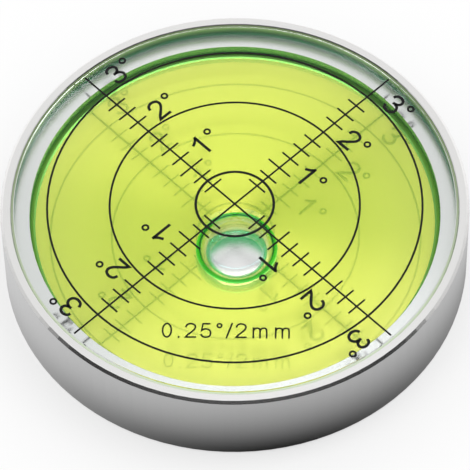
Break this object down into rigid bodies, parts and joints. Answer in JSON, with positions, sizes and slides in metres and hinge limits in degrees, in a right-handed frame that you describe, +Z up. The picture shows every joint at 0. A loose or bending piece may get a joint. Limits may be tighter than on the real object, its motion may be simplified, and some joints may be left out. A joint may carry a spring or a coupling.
{
  "type": "bullseye level",
  "caption": "Round surface level: a turned metal case with a flat base is filled with green fluid under a clear domed lens, and its bubble is read against a printed dial.",
  "frame": {"origin": "middle of the flat base", "axes": "+Z up out of the lens, along the axis that the case was turned on; -Y towards the reader of the dial"},
  "size_m": [0.06, 0.06, 0.012],
  "materials": {
    "case": "fine turned, satin",
    "clear_lens": "clear acrylic, polished",
    "fluid": "clear yellow-green liquid",
    "print": "black screen print"
  },
  "bodies": {
    "root": {"housing": "case", "lens": "clear_lens", "fluid": "fluid", "graduation": "print"}
  },
  "joints": []
}
